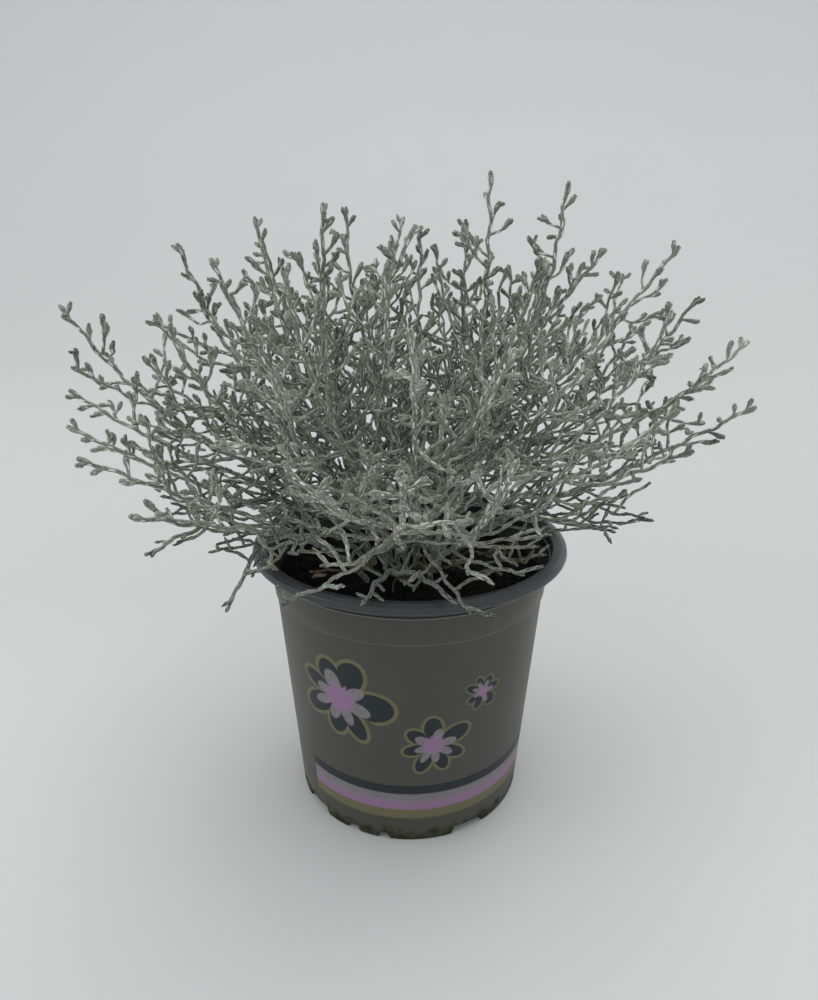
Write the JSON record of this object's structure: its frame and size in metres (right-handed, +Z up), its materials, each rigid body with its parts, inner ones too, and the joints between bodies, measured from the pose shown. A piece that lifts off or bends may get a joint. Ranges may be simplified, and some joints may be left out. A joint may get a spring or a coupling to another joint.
{
  "type": "potted cushion bush",
  "caption": "Dome of thin silvery forked twigs growing from soil in a round tapered plastic nursery pot with a rolled rim and a notched foot.",
  "frame": {"origin": "centre of the pot's foot, on the surface it stands on", "axes": "+Z up, -Y towards the printed flowers on the pot, +X to their right, along the bush's widest spread"},
  "size_m": [0.2152, 0.1972, 0.2071],
  "materials": {
    "pot_plastic": "satin moulded plastic, printed outside",
    "soil": "dark crumbly peat",
    "felted_stem": "silver-grey felt over green",
    "dead_wood": "dry and brown"
  },
  "bodies": {
    "root": {"dead_twig_1": "dead_wood", "dead_twig_2": "dead_wood", "dead_twig_3": "dead_wood", "pot": "pot_plastic", "soil": "soil", "stem_01": "felted_stem", "stem_02": "felted_stem", "stem_03": "felted_stem", "stem_04": "felted_stem", "stem_05": "felted_stem", "stem_06": "felted_stem", "stem_07": "felted_stem", "stem_08": "felted_stem", "stem_09": "felted_stem", "stem_10": "felted_stem", "stem_11": "felted_stem", "stem_12": "felted_stem", "stem_13": "felted_stem", "stem_14": "felted_stem", "stem_15": "felted_stem", "stem_16": "felted_stem", "stem_17": "felted_stem", "stem_18": "felted_stem", "stem_19": "felted_stem", "stem_20": "felted_stem", "stem_21": "felted_stem", "stem_22": "felted_stem", "stem_23": "felted_stem", "stem_24": "felted_stem", "stem_25": "felted_stem", "stem_26": "felted_stem", "stem_27": "felted_stem"}
  },
  "joints": []
}
